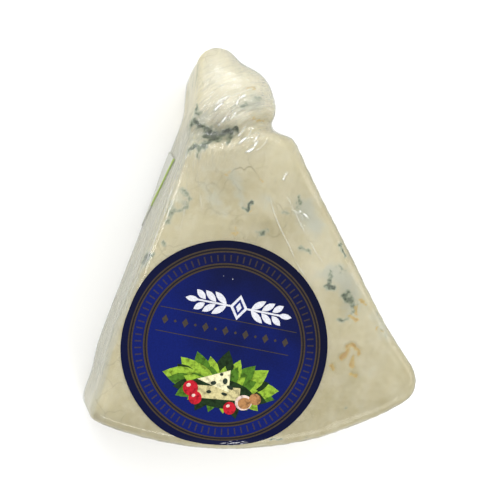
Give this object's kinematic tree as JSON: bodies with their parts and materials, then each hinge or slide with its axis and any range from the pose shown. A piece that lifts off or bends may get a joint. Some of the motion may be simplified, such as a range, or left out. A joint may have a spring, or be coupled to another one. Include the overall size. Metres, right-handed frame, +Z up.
{
  "type": "gorgonzola wedge",
  "caption": "Wedge of blue cheese in tight clear film, lying on one cut face, with a round blue label on the face shown.",
  "frame": {"origin": "centre of the bounding box in plan, on the flat face that the wedge lies on", "axes": "+Y from the curved rind to the point, +Z up out of the labelled face, +X to the right seen from above"},
  "size_m": [0.0816, 0.1, 0.0486],
  "materials": {
    "cheese": "cream blue cheese with grey-green mould veins, moist",
    "film": "tight clear cling film with tension creases and small gloss highlights",
    "front_label": "deep blue printed sticker with thin dull gold rings",
    "side_label": "white paper sticker with a light green border"
  },
  "bodies": {
    "root": {"wrapped_wedge": "cheese", "front_label": "front_label", "side_label": "side_label"}
  },
  "joints": []
}
